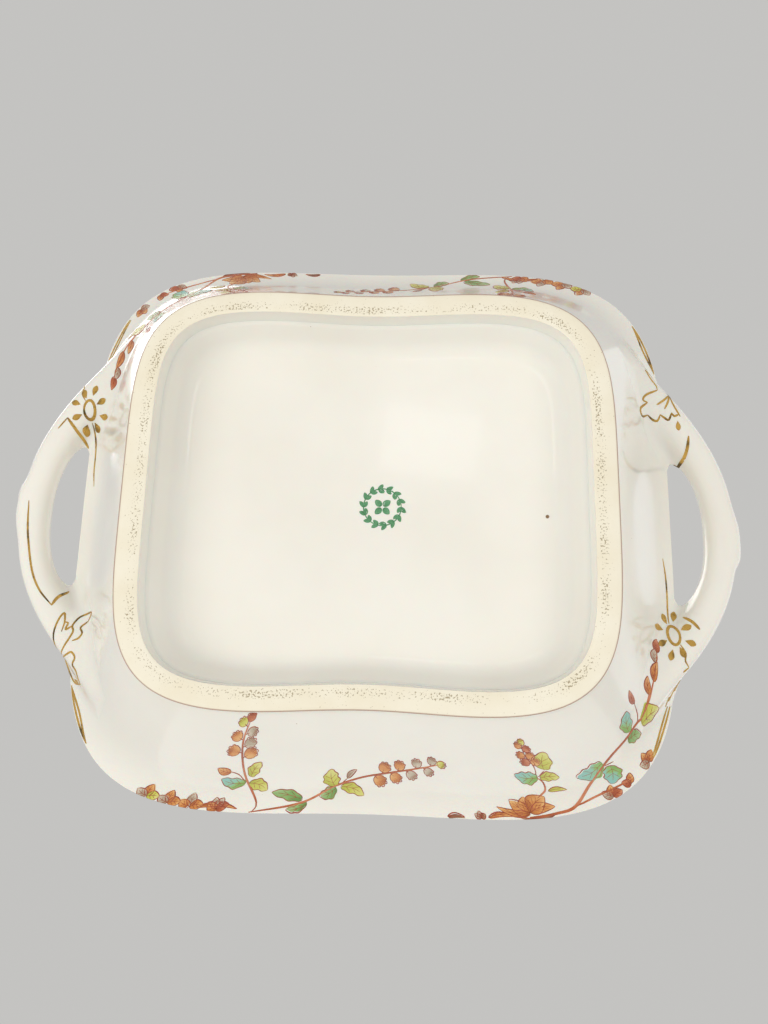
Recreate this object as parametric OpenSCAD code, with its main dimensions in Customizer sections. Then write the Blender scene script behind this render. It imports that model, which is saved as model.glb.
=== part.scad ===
// Covered butter dish: a square handled base on a foot ring, a pierced drainer
// that carries the butter, and a domed lid with a loop handle. Millimetres, +Z up.
// The origin is the centre of the foot ring on the table, and the handles lie along X.

/* [Base] */
// Half length of the rim, without the handles
rim_x = 81.5; // [78:0.5:84]
// Half width of the rim
rim_y = 77.5; // [75:0.5:80]
// Height of the rim above the table
rim_z = 38; // [36:0.5:42]
// Thickness of the porcelain at the rim
rim_t = 3.4; // [2.6:0.1:4]
// Thickness of the floor
floor_t = 4; // [3:0.1:5]
// How square the rim outline is, where 2 is an ellipse
rim_square = 4.4; // [4:0.1:6]

/* [Foot ring] */
// Half length of the foot ring
foot_x = 58; // [54:0.5:61]
// Half width of the foot ring
foot_y = 51.5; // [49:0.5:54]
// Height of the foot ring
foot_h = 4; // [3:0.5:5]
// Width of its unglazed resting band
foot_band = 5.8; // [4:0.2:7]
// Depth of the recess under the floor
recess = 10; // [8:0.5:12]
// How square the foot ring is
foot_square = 4.6; // [4:0.1:6]

/* [Side handles] */
// Distance from the centre to the middle of a handle's strap
handle_x = 95; // [94:0.5:98]
// Half distance between the ends of a handle, inside the wall
handle_root_y = 43; // [41:0.5:45]
// How far a handle's ends lie back from its middle
handle_bow = 27; // [26:0.5:32]
// How far each handle sits off the cross line, the right one towards +Y
handle_shift = 1; // [0:0.5:2]
// Width of the strap at its middle
strap_w = 8; // [7:0.2:10]
// Height of the strap at its middle
strap_h = 7.4; // [6:0.2:9]

/* [Drainer] */
// Height of the drainer's underside
drainer_z = 21; // [19:0.5:24]
// Thickness of the drainer
drainer_t = 3.5; // [3:0.1:5]
// Diameter of the finger hole in its centre
finger_hole_d = 14; // [12:0.5:18]
// Diameter of a drain hole
drain_hole_d = 5; // [4:0.2:6]

/* [Lid] */
// Height of the dome above the lid's edge
dome_h = 30; // [24:0.5:36]
// Thickness of the lid's wall
lid_t = 3.6; // [3:0.1:4.5]
// Depth of the flange that drops inside the rim
flange_h = 3.5; // [2.5:0.5:3.5]
// Height of the loop handle's middle line above the dome
loop_h = 17; // [14:0.5:20]
// Half distance between the loop handle's roots
loop_root_x = 21; // [18:0.5:24]

/* [Hidden] */
segments = 72;                      // points round every outline
wall_steps = 10;                    // rings up each wall
strap_points = 16;                  // points round a handle's section
porcelain = "#f7f4ec";
biscuit = "#e9ddc0";
foot_dip = 0.038;                   // how far the long sides of the foot curve inwards
rim_dip = 0.021;
panel_inset = 10.6;                 // from the foot ring's outside to the recessed panel
panel_square = foot_square + 1.8;
recess_lip = 0.6;                   // the recess starts this far inside the foot ring
recess_square = foot_square + 0.9;
hub_r = 2;                          // radius of the small round centre of a flat floor
floor_inset = 2;                    // the flat floor is this much smaller than the foot
floor_z = recess + floor_t;
gap = 0.3;                          // air between pieces that come apart
lean = 0.85;                        // share of the flare made by the wall, the rest by the lip
lean_power = 0.95;
lip_power = 8;
lip_in = 1;                         // the lip's top is rounded by this much on each side
block_top = 30;                     // how far the cutting block runs above the rim
strap_power = 2.5;                  // how square a handle's section is
root_w = 2.6;                       // a side handle widens by this much at its ends
root_h = 1.2;                       // and gets thicker by this much above and below
bow_power = 2.2;                    // how flat a handle is before it turns to the wall
handle_drop = 6;                    // how far its ends lie below its middle
drop_power = 1.6;
drain_rows = [[6, 17, 0], [12, 30, 15], [12, 43, 0]];   // holes, radius, turn
lid_low = rim_z + gap;              // underside of the lid's edge
lid_edge_h = 3;                     // height of the edge
lid_inset = 1.2;                    // the edge stands this far inside the rim
shoulder = 2.5;                     // the dome starts this far inside the rim
shoulder_t = 1.6;                   // thickness of the dome's foot, as a share of lid_t
dome_square = 2.2;                  // the dome is nearly round at its top
dome_power = 2.6;
dome_round = 0.8;
dome_steps = 11;                    // rings up the dome
hub_share = 0.015;                  // size of the dome's small top ring
loop_w = 3.4;                       // half width and half depth of the loop handle
loop_d = 4.2;
loop_sink = 4;                      // how far the loop's ends reach into the dome
loop_swell = 0.5;                   // how much its ends swell

// Closed outline with rounded corners: half sizes, squareness, dip of the long sides
function outline(a, b, n, dip) = [for (i = [0 : segments - 1])
    let (t = 360*i/segments,
         r = pow(pow(abs(cos(t))/a, n) + pow(abs(sin(t))/b, n), -1/n),
         k = r*(1 - dip*pow(abs(sin(t)), 8)))
    [k*cos(t), k*sin(t)]];

// An outline lifted to a height, as one ring of a loft
function ring(a, b, n, dip, z) = [for (p = outline(a, b, n, dip)) [p[0], p[1], z]];

// Share of the way out from foot to rim, at a share s of the way up: leaning wall, then lip
function flare(s) = lean*pow(s, lean_power) + (1 - lean)*pow(s, lip_power);

function mix(p, q, s) = p + (q - p)*s;

// Heights crowd towards the lip of a wall, where it curves most
function step_up(i) = sin(90*i/wall_steps);

// Ring of the base's outer wall, at a share s of the way from the foot to the rim
function outer_ring(s) = let (w = flare(s))
    ring(mix(foot_x, rim_x, w), mix(foot_y, rim_y, w), mix(foot_square, rim_square, w),
         mix(foot_dip, rim_dip, w), mix(foot_h, rim_z - lip_in, s));

function inner_half(half_foot, half_rim, s) =
    mix(half_foot - floor_inset, half_rim - rim_t, flare(s));

// Ring of the base's inner wall, at a share s of the way from the floor to the rim
function inner_ring(s, clear = 0) =
    ring(inner_half(foot_x, rim_x, s) - clear, inner_half(foot_y, rim_y, s) - clear,
         mix(foot_square, rim_square, flare(s)), rim_dip, mix(floor_z, rim_z - lip_in, s));

// Faces of a loft through rings of equal length, with a flat cap at each end
function loft_faces(rings, m) = let (last = (rings - 1)*m) concat(
    [for (i = [0 : rings - 2], j = [0 : m - 1])
        let (a = i*m + j, b = i*m + (j + 1) % m)
        each [[a, a + m, b + m], [a, b + m, b]]],
    [[for (j = [0 : m - 1]) j]],
    [[for (j = [m - 1 : -1 : 0]) last + j]]);

module loft(rings) {
    polyhedron(points = [for (r = rings) each r],
               faces = loft_faces(len(rings), len(rings[0])), convexity = 6);
}

module bowl() {
    color(porcelain) loft(concat(
        [ring(hub_r, hub_r, 2, 0, recess),
         ring(foot_x - panel_inset, foot_y - panel_inset, panel_square, foot_dip, recess),
         ring(foot_x - foot_band - recess_lip, foot_y - foot_band - recess_lip,
              recess_square, foot_dip, foot_h)],
        [for (i = [0 : wall_steps]) outer_ring(step_up(i))],
        [ring(rim_x - lip_in, rim_y - lip_in, rim_square, rim_dip, rim_z),
         ring(rim_x - rim_t + lip_in, rim_y - rim_t + lip_in, rim_square, rim_dip, rim_z)],
        [for (i = [wall_steps : -1 : 0]) inner_ring(step_up(i))],
        [ring(hub_r, hub_r, 2, 0, floor_z)]));
}

module foot_ring() {
    color(biscuit) linear_extrude(foot_h) difference() {
        polygon(outline(foot_x, foot_y, foot_square, foot_dip));
        polygon(outline(foot_x - foot_band, foot_y - foot_band, recess_square, foot_dip));
    }
}

// The base's outer form, filled in, for cutting the handles' roots to the wall
module base_block() {
    loft(concat([for (i = [0 : wall_steps]) outer_ring(step_up(i))],
        [for (z = [rim_z, rim_z + block_top])
            ring(rim_x + gap, rim_y + gap, rim_square, rim_dip, z)]));
}

// Rounded oblong section of a strap: half width inside and outside, half height
function strap_section(half_in, half_out, half_h) = [for (i = [0 : strap_points - 1])
    let (t = 360*i/strap_points, c = cos(t), s = sin(t), power = 2/strap_power)
    [(c > 0 ? half_out : half_in)*sign(c)*pow(abs(c), power), half_h*sign(s)*pow(abs(s), power)]];

// Low leaf moulded on the outside of a strap: it swells slowly and ends in a small step
function leaf_bump(y) = let (rise = 9, fall = 4.5, middle = 4, height = 1.3)
    height*exp(-pow((y - middle)/(y > middle ? fall : rise), 4));

// Right-hand handle: a strap that leaves the wall, bows out and comes back
module side_handle() {
    steps = 26;
    outer_share = 0.6;              // the outside widens less than the inside
    rings = [for (i = [0 : steps])
        let (t = 1 - 2*i/steps,
             u = abs(t),
             y = handle_root_y*t,
             x = handle_x - handle_bow*pow(u, bow_power),
             z = mix(rim_z, rim_z - handle_drop, pow(u, drop_power)),
             turn = atan(sign(t)*handle_bow*bow_power*pow(u, bow_power - 1)/handle_root_y),
             swell = root_w*pow(u, 3))
        [for (p = strap_section(strap_w/2 + swell, strap_w/2 + outer_share*swell + leaf_bump(y),
                                strap_h/2 + root_h*pow(u, 3)))
            [x + p[0]*cos(turn), handle_shift + y + p[0]*sin(turn), z + p[1]]]];
    color(porcelain) difference() {
        loft(rings);
        base_block();
    }
}

module handle_right() { side_handle(); }

module handle_left() { rotate([0, 0, 180]) side_handle(); }

module drainer() {
    play = 0.4;                     // air round the drainer
    s = (drainer_z - floor_z)/(rim_z - lip_in - floor_z);
    edge = [for (p = inner_ring(s, play)) [p[0], p[1]]];
    color(porcelain) translate([0, 0, drainer_z]) difference() {
        linear_extrude(drainer_t) polygon(edge);
        translate([0, 0, -1]) cylinder(h = drainer_t + 2, d = finger_hole_d, $fn = 48);
        for (row = drain_rows, i = [0 : row[0] - 1])
            rotate([0, 0, row[2] + 360*i/row[0]]) translate([row[1], 0, -1])
                cylinder(h = drainer_t + 2, d = drain_hole_d, $fn = 24);
    }
}

// Height of the dome over the lid's edge, at a share k of the way out to the edge
function dome(k) = dome_h*pow(1 - pow(k, dome_power), dome_round);

// Ring of the dome, shrunk by a wall thickness
function dome_ring(k, inset) = let (in = shoulder + shoulder_t*inset)
    ring(k*(rim_x - in), k*(rim_y - in), mix(dome_square, rim_square, pow(k, 0.7)),
         rim_dip*k, lid_low + lid_edge_h + dome(k)*(1 - inset/dome_h));

// Ring of the lid's edge, a distance inside the rim
function edge_ring(in, z) = ring(rim_x - in, rim_y - in, rim_square, rim_dip, z);

// Shares of the way out to the edge, from the dome's top, closer together as it steepens
function dome_share(i) = hub_share + (1 - hub_share)*sin(90*i/dome_steps);

module lid() {
    flange_in = 10.4;               // distances inside the rim
    flange_out = 7.4;
    flange_taper = 0.6;
    corner_in = 2;
    corner_h = 1.5;
    color(porcelain) loft(concat(
        [for (i = [0 : dome_steps]) dome_ring(dome_share(i), lid_t)],
        [edge_ring(flange_in, lid_low),
         edge_ring(flange_in, lid_low - flange_h),
         edge_ring(flange_out + flange_taper, lid_low - flange_h),
         edge_ring(flange_out, lid_low),
         edge_ring(corner_in, lid_low),
         edge_ring(lid_inset, lid_low + corner_h)],
        [for (i = [dome_steps : -1 : 0]) dome_ring(dome_share(i), 0)]));
}

module lid_handle() {
    steps = 24;
    root_z = lid_low + lid_edge_h + dome_h - loop_sink;
    rings = [for (i = [0 : steps])
        let (t = 180*i/steps,
             x = -loop_root_x*cos(t),
             z = root_z + (loop_h + loop_sink)*pow(sin(t), 0.8),
             turn = 90 - t,
             swell = 1 + loop_swell*pow(abs(cos(t)), 5))
        [for (p = strap_section(loop_w*swell, loop_w*swell, loop_d*swell))
            [x - p[0]*sin(turn), p[1], z + p[0]*cos(turn)]]];
    color(porcelain) difference() {
        loft(rings);
        loft([for (i = [dome_steps : -1 : 0]) dome_ring(dome_share(i), 0)]);
    }
}

bowl();
foot_ring();
handle_left();
handle_right();
drainer();
lid();
lid_handle();
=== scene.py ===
"""Looks of the covered butter dish: porcelain, unglazed foot, printed sprigs and gilding.

Lengths are in millimetres in the shared frame, and a mesh turns them into metres. The
camera looks up at the underside, so the floor shows from above only.
"""
import math

import bmesh
import bpy
import numpy as np
import openvdb
from mathutils import Matrix, Vector


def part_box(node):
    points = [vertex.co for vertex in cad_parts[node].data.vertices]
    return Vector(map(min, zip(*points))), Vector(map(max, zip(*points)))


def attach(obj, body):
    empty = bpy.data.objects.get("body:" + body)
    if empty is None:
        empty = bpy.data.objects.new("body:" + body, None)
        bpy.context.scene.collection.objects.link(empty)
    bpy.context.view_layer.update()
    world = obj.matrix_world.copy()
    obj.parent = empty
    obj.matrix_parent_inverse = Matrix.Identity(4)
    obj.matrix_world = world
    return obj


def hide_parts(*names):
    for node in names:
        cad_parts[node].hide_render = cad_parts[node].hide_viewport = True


MM = 0.001
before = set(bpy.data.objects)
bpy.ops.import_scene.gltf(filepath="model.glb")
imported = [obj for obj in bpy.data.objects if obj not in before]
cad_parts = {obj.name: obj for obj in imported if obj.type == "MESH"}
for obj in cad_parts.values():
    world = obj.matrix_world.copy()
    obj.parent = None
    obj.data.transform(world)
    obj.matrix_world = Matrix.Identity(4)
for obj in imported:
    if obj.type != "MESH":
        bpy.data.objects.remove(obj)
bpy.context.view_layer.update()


def cad_corner(node):
    """Highest corner of a CAD node, in millimetres."""
    return np.array(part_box(node)[1]) / MM


# ------------ driving dimensions
# X and Y are half lengths along those axes and Z is a height over the table. SQUARE is the power
# of a rounded-square outline, where 2 is an ellipse, and DIP is the share by which its long sides
# bend inwards. LOOP_W and LOOP_D are half sizes of the lid handle's section.
RIM_X = cad_corner("bowl")[0]
RIM_Y = 77.5
RIM_Z = cad_corner("bowl")[2]
RIM_T = 3.4
RIM_SQUARE = 4.4
RIM_DIP = 0.021
FOOT_X = cad_corner("foot_ring")[0]
FOOT_Y = 51.5
FOOT_H = cad_corner("foot_ring")[2]
FOOT_BAND = 5.8
FOOT_SQUARE = 4.6
FOOT_DIP = 0.038
RECESS = 10.0
RECESS_LIP = 0.6
RECESS_SQUARE = FOOT_SQUARE + 0.9
PANEL_INSET = 10.6
PANEL_SQUARE = FOOT_SQUARE + 1.8
FLOOR_Z = 14.0
FLOOR_INSET = 2.0
LEAN = 0.85
LEAN_POWER = 0.95
LIP_POWER = 8.0
LIP_IN = 1.0
HANDLE_X = 95.0
HANDLE_BOW = 27.0
BOW_POWER = 2.2
HANDLE_SHIFT = 1.0
HANDLE_ROOT_Y = 43.0
HANDLE_DROP = 6.0
DROP_POWER = 1.6
STRAP_W = 8.0
STRAP_H = 7.4
STRAP_POWER = 2.5
ROOT_W = 2.6
ROOT_H = 1.2
GAP = 0.3
DRAINER_LOW = np.array(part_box("drainer")[0])[2] / MM
DRAINER_T = cad_corner("drainer")[2] - DRAINER_LOW
DRAINER_PLAY = 0.4
FINGER_HOLE_R = 7.0
DRAIN_HOLE_R = 2.5
DRAIN_ROWS = ((6, 17.0, 0.0), (12, 30.0, 15.0), (12, 43.0, 0.0))
LID_LOW = RIM_Z + GAP
LID_EDGE_H = 3.0
LID_INSET = 1.2
LID_T = 3.6
SHOULDER = 2.5
SHOULDER_T = 1.6
DOME_H = 30.0
DOME_SQUARE = 2.2
DOME_POWER = 2.6
DOME_ROUND = 0.8
FLANGE_H = 3.5
FLANGE_IN = 10.4
FLANGE_OUT = 7.4
FLANGE_TAPER = 0.6
LOOP_H = 17.0
LOOP_ROOT_X = 21.0
LOOP_W = 3.4
LOOP_D = 4.2
LOOP_SINK = 4.0
LOOP_SWELL = 0.5
WALL_TOP = RIM_Z - LIP_IN
DOME_LOW = LID_LOW + LID_EDGE_H


# ------------ forms
def mix(a, b, t):
    return a + (b - a) * t


def outline_r(theta, a, b, square, dip):
    """Radius of a rounded-square outline, its long sides dipping inwards a little."""
    c, s = np.abs(np.cos(theta)) + 1e-12, np.abs(np.sin(theta)) + 1e-12
    r = ((c / a) ** square + (s / b) ** square) ** (-1 / square)
    return r * (1 - dip * s ** 8)


def flare(s):
    """Share of the way out from foot to rim at a share s of the way up."""
    s = np.clip(s, 0, None)
    return LEAN * s ** LEAN_POWER + (1 - LEAN) * s ** LIP_POWER


def wall_r(theta, s):
    """Radius of the base's outer wall."""
    w = flare(s)
    return outline_r(theta, mix(FOOT_X, RIM_X, w), mix(FOOT_Y, RIM_Y, w),
                     mix(FOOT_SQUARE, RIM_SQUARE, w), mix(FOOT_DIP, RIM_DIP, w))


def inner_r(theta, s, play=0.0):
    """Radius of the base's inner wall, less some play."""
    w = flare(s)
    return outline_r(theta, mix(FOOT_X - FLOOR_INSET, RIM_X - RIM_T, w) - play,
                     mix(FOOT_Y - FLOOR_INSET, RIM_Y - RIM_T, w) - play,
                     mix(FOOT_SQUARE, RIM_SQUARE, w), RIM_DIP)


def polar(theta, r, z):
    """Points from angle, radius and height arrays."""
    theta, r, z = np.broadcast_arrays(theta, r, z)
    return np.stack([r * np.cos(theta), r * np.sin(theta), z], -1)


def cylindrical(p):
    """Angle, radius and height of points."""
    return np.arctan2(p[..., 1], p[..., 0]), np.hypot(p[..., 0], p[..., 1]), p[..., 2]


def unit(v):
    return v / np.maximum(np.linalg.norm(v, axis=-1, keepdims=True), 1e-9)


def wall_point(theta, s):
    return polar(theta, wall_r(theta, s), mix(FOOT_H, WALL_TOP, s))


def dome(k):
    """Height of the dome over the lid's edge at a share k of the way out."""
    return DOME_H * np.clip(1 - np.clip(k, 0, 1) ** DOME_POWER, 0, 1) ** DOME_ROUND


def dome_r(theta, k, inset=0.0):
    """Radius of the dome's ring at a share k of the way out, inset by a wall thickness."""
    inside = SHOULDER + SHOULDER_T * inset
    square = mix(DOME_SQUARE, RIM_SQUARE, k ** 0.7)
    return outline_r(theta, k * (RIM_X - inside), k * (RIM_Y - inside), square, RIM_DIP * k)


def dome_point(theta, k, inset=0.0):
    return polar(theta, dome_r(theta, k, inset), DOME_LOW + dome(k) * (1 - inset / DOME_H))


# ------------ mesh building
def make_object(name, points, faces, body, material, slot, smooth_angle=None):
    """A mesh object from points in millimetres, riding on a body."""
    mesh = bpy.data.meshes.new(name)
    mesh.from_pydata((np.asarray(points) * MM).tolist(), [], faces)
    mesh.materials.append(material)
    mesh.polygons.foreach_set("use_smooth", [True] * len(mesh.polygons))
    if smooth_angle is not None:
        mesh.set_sharp_from_angle(angle=math.radians(smooth_angle))
    mesh.validate()
    mesh.update()
    obj = bpy.data.objects.new(name, mesh)
    bpy.context.scene.collection.objects.link(obj)
    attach(obj, body)
    return obj


def loft(rings):
    """Points and faces of a closed loft: rings of equal length, with a point at each end."""
    count, m = len(rings), len(rings[0])
    points = [rings[0].mean(0, keepdims=True)] + list(rings) + [rings[-1].mean(0, keepdims=True)]
    points = np.concatenate(points)
    j = np.arange(m)
    k = (j + 1) % m
    faces = [(0, 1 + b, 1 + a) for a, b in zip(j, k)]
    for i in range(count - 1):
        low, high = 1 + i * m, 1 + (i + 1) * m
        faces += [(low + a, low + b, high + b, high + a) for a, b in zip(j, k)]
    top, last = 1 + (count - 1) * m, len(points) - 1
    faces += [(top + a, top + b, last) for a, b in zip(j, k)]
    return points, faces


SEGMENTS = 288
THETA = np.arange(SEGMENTS) * 2 * np.pi / SEGMENTS


def ring(a, b, square, dip, z):
    return polar(THETA, outline_r(THETA, a, b, square, dip), z)


def arc_rings(first, last, bulge, count):
    """Rings that turn a rounded corner from first to last, by way of the corner ring bulge."""
    rings = []
    for t in np.linspace(0, 1, count + 2)[1:-1]:
        rings.append((1 - t) ** 2 * first + 2 * t * (1 - t) * bulge + t ** 2 * last)
    return rings


def closing_rings(edge, count):
    """Rings that shrink from an edge towards its middle, all at the edge's height."""
    centre = edge.mean(0)
    return [mix(centre, edge, t) for t in np.linspace(1, 0, count + 1)[1:-1]]


# ------------ level sets
def smooth_min(a, b, k):
    h = np.clip(0.5 + 0.5 * (b - a) / k, 0, 1)
    return mix(b, a, h) - k * h * (1 - h)


def smooth_max(a, b, k):
    return -smooth_min(-a, -b, k)


def wall_level(p, soft=0.8):
    """Signed distance, about, from the base's outer form, its top edge softened."""
    theta, r, z = cylindrical(p)
    s = np.clip((z - FOOT_H) / (WALL_TOP - FOOT_H), 0.01, 1.0)
    step = 0.01
    slope = (wall_r(theta, s + step) - wall_r(theta, s)) / (step * (WALL_TOP - FOOT_H))
    d = (r - wall_r(theta, s)) / np.sqrt(1 + slope ** 2)
    return smooth_max(d, z - RIM_Z, soft)


STRAP_T = np.linspace(-1, 1, 161)


def leaf_bump(y):
    """Low leaf moulded on the outside of a strap: it swells slowly and ends in a small step."""
    return 1.3 * np.exp(-((y - 4) / np.where(y > 4, 4.5, 9.0)) ** 4)


def strap_line(t):
    """Middle line of the right-hand handle and the angle of its outward direction in plan."""
    u = np.abs(t)
    line = np.stack([HANDLE_X - HANDLE_BOW * u ** BOW_POWER, HANDLE_SHIFT + HANDLE_ROOT_Y * t,
                     RIM_Z - HANDLE_DROP * u ** DROP_POWER], -1)
    turn = np.arctan(np.sign(t) * HANDLE_BOW * BOW_POWER * u ** (BOW_POWER - 1) / HANDLE_ROOT_Y)
    return line, turn


def strap_section(t):
    """Half width inside, half width outside and half height of the strap."""
    u = np.abs(t)
    swell = ROOT_W * u ** 3
    outside = STRAP_W / 2 + 0.6 * swell + leaf_bump(HANDLE_ROOT_Y * t)
    return STRAP_W / 2 + swell, outside, STRAP_H / 2 + ROOT_H * u ** 3


def nearest_on(line_of, samples, flat):
    """Parameter of the place on a curve nearest to each point, refined between samples."""
    line = line_of(samples)
    t = np.empty(len(flat))
    batch = 60000
    for start in range(0, len(flat), batch):
        part = flat[start:start + batch]
        t[start:start + batch] = samples[((part[:, None] - line[None]) ** 2).sum(-1).argmin(1)]
    step = 1e-3
    for _ in range(3):
        place = line_of(t)
        tangent = (line_of(t + step) - place) / step
        t = t + ((flat - place) * tangent).sum(-1) / (tangent ** 2).sum(-1)
        t = np.clip(t, samples[0], samples[-1])
    return t


def section_level(out, up, half_out, half_up):
    """Level set of a rounded oblong section, about the distance from its surface."""
    reach = (np.abs(out) / half_out) ** STRAP_POWER + (np.abs(up) / half_up) ** STRAP_POWER
    return (reach ** (1 / STRAP_POWER) - 1) * np.minimum(half_out, half_up)


def strap_level(p):
    """Level set of the right-hand handle's bare strap."""
    flat = p.reshape(-1, 3)
    t = nearest_on(lambda at: strap_line(at)[0], STRAP_T, flat)
    line, turn = strap_line(t)
    half_in, half_out, half_h = strap_section(t)
    d = flat - line
    out = d[:, 0] * np.cos(turn) + d[:, 1] * np.sin(turn)
    side = -d[:, 0] * np.sin(turn) + d[:, 1] * np.cos(turn)
    level = section_level(out, d[:, 2], np.where(out > 0, half_out, half_in), half_h)
    return np.maximum(level, np.abs(side) - 2).reshape(p.shape[:-1])


SEAM = 5.0                       # how wide a handle's root melts into the wall
SKIN = 1.4                       # how deep a handle's root is let into the wall
TUCK = 0.04                      # how far its feathered edge sinks under the glaze
LINING = 1.6                     # how much of the wall's inner side stays free of handle roots


def handle_outside(p):
    """Level set of the wall and the right-hand handle melted together."""
    return smooth_min(strap_level(p), wall_level(p) + TUCK, SEAM)


def painted_skin(p):
    """The same without the tuck, with the lip as it is painted."""
    return smooth_min(strap_level(p), wall_level(p, 0.05), SEAM)


def above_rim(p):
    """Level set of the space over the rim, which the lid needs."""
    theta, r, z = cylindrical(p)
    column = r - outline_r(theta, RIM_X + GAP, RIM_Y + GAP, RIM_SQUARE, RIM_DIP)
    return np.maximum(column, RIM_Z - z)


def lining_level(p):
    """Level set of the bowl's inside and the inner side of its wall."""
    theta, r, z = cylindrical(p)
    s = np.clip((z - FLOOR_Z) / (WALL_TOP - FLOOR_Z), 0, 1)
    return r - inner_r(theta, s) - LINING


def handle_level(p):
    """Level set of the right-hand handle as a piece of its own."""
    level = np.maximum(handle_outside(p), -(wall_level(p) + SKIN))
    level = np.maximum(level, -lining_level(p))
    level = np.maximum(level, strap_level(p) - SEAM - 0.5)
    return smooth_max(level, -above_rim(p), 0.5)


def dome_level(p):
    """Level set of the lid's outer form near its top."""
    theta, r, z = cylindrical(p)
    k = np.full(r.shape, 0.3)
    for _ in range(5):
        k = np.clip(k * r / dome_r(theta, np.clip(k, 0.01, 1)), 0.01, 0.98)
    step = 0.01
    slope = (dome(k + step) - dome(k)) / (dome_r(theta, k + step) - dome_r(theta, k))
    return (z - DOME_LOW - dome(k)) / np.sqrt(1 + slope ** 2)


LOOP_T = np.linspace(0, np.pi, 121)
LOOP_SEAM = 4.0                  # how wide the lid handle's roots melt into the dome


def loop_line(t):
    """Middle line of the lid's loop handle, t from 0 to pi."""
    arch = np.clip(np.sin(np.clip(t, 0, np.pi)), 1e-9, 1) ** 0.8
    root_z = DOME_LOW + DOME_H - LOOP_SINK
    return np.stack([-LOOP_ROOT_X * np.cos(t), 0 * t, root_z + (LOOP_H + LOOP_SINK) * arch], -1)


def loop_section(t):
    """Half width in the loop's plane and half depth across it."""
    swell = 1 + LOOP_SWELL * np.abs(np.cos(t)) ** 5
    return LOOP_W * swell, LOOP_D * swell


def loop_level(p):
    flat = p.reshape(-1, 3)
    t = nearest_on(loop_line, LOOP_T, flat)
    d = flat - loop_line(t)
    half_w, half_d = loop_section(t)
    out = np.hypot(d[:, 0], d[:, 2])
    return section_level(out, d[:, 1], half_w, half_d).reshape(p.shape[:-1])


def lid_outside(p):
    """Level set of the dome and the loop handle melted together."""
    return smooth_min(loop_level(p), dome_level(p) + TUCK, LOOP_SEAM)


def lid_handle_level(p):
    level = np.maximum(lid_outside(p), -(dome_level(p) + SKIN))
    return np.maximum(level, loop_level(p) - LOOP_SEAM - 0.5)


def gradient(f, p):
    step = 0.02
    g = np.empty_like(p)
    for axis in range(3):
        d = np.zeros(3)
        d[axis] = step
        g[:, axis] = (f(p + d) - f(p - d)) / (2 * step)
    return g


def step_to(f, p, least_slope, longest):
    """Points moved towards the surface where f is zero, by no more than a longest step."""
    g = gradient(f, p)
    move = -(f(p) / np.maximum((g ** 2).sum(-1), least_slope ** 2))[:, None] * g
    length = np.linalg.norm(move, axis=1, keepdims=True)
    return p + move * np.minimum(1, longest / np.maximum(length, 1e-9))


def drop_on(f, p, rounds=4):
    """Moves points onto the surface where f is zero and returns them with their normals."""
    for _ in range(rounds):
        p = step_to(f, p, 1e-3, 1.0)
    return p, unit(gradient(f, p))


def mesh_level(f, low, high, voxel):
    """Quads of the surface where f is zero, within a box."""
    axes = [np.arange(a, b + voxel, voxel) for a, b in zip(low, high)]
    grid = np.stack(np.meshgrid(*axes, indexing="ij"), -1)
    reach = 4.0                      # the grid's values run no further from the surface
    volume = openvdb.FloatGrid(reach)
    volume.copyFromArray(np.clip(f(grid), -reach, reach).astype(np.float32))
    points, quads = volume.convertToQuads(isovalue=0.0)
    points = points.astype(float) * voxel + np.array([a[0] for a in axes])
    points = step_to(f, points, 0.2, 0.5 * voxel)
    return points, [tuple(int(i) for i in q) for q in quads]


# ------------ materials
def new_material(name):
    material = bpy.data.materials.new(name)
    material.use_nodes = True
    return material, material.node_tree, material.node_tree.nodes["Principled BSDF"]


def add(tree, kind, **settings):
    """A node with its properties and input values set."""
    item = tree.nodes.new(kind)
    for key, value in settings.items():
        if hasattr(item, key):
            setattr(item, key, value)
        else:
            item.inputs[key].default_value = value
    return item


def noise(tree, scale, detail=3.0):
    """Noise over the object coordinates, which are in metres, times a scale."""
    coords = add(tree, "ShaderNodeTexCoord")
    mapping = add(tree, "ShaderNodeMapping", Scale=(scale, scale, scale))
    item = add(tree, "ShaderNodeTexNoise", Scale=1.0, Detail=detail, Roughness=0.5)
    tree.links.new(coords.outputs["Object"], mapping.inputs["Vector"])
    tree.links.new(mapping.outputs["Vector"], item.inputs["Vector"])
    return item.outputs["Fac"]


def ramp(tree, source, stops):
    """Colour ramp of (place, colour) stops."""
    item = add(tree, "ShaderNodeValToRGB")
    while len(item.color_ramp.elements) < len(stops):
        item.color_ramp.elements.new(0.5)
    for element, (spot, colour) in zip(item.color_ramp.elements, stops):
        element.position = spot
        element.color = (*colour, 1)
    tree.links.new(source, item.inputs["Fac"])
    return item.outputs["Color"]


def span(tree, source, low, high, start=0.0, end=1.0):
    """Maps a value from low..high to start..end, clamped."""
    item = add(tree, "ShaderNodeMapRange")
    for key, value in zip(("From Min", "From Max", "To Min", "To Max"), (low, high, start, end)):
        item.inputs[key].default_value = value
    tree.links.new(source, item.inputs["Value"])
    return item.outputs["Result"]


def blend(tree, factor, first, second):
    """A mix of two colours: a mix node's colour sockets are its inputs 6 and 7 and its output 2."""
    item = add(tree, "ShaderNodeMix", data_type="RGBA")
    tree.links.new(factor, item.inputs["Factor"])
    for value, socket in ((first, item.inputs[6]), (second, item.inputs[7])):
        if isinstance(value, tuple):
            socket.default_value = (*value, 1)
        else:
            tree.links.new(value, socket)
    return item.outputs[2]


def combine(tree, operation, first, second):
    item = add(tree, "ShaderNodeMath", operation=operation)
    tree.links.new(first, item.inputs[0])
    tree.links.new(second, item.inputs[1])
    return item.outputs[0]


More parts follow.
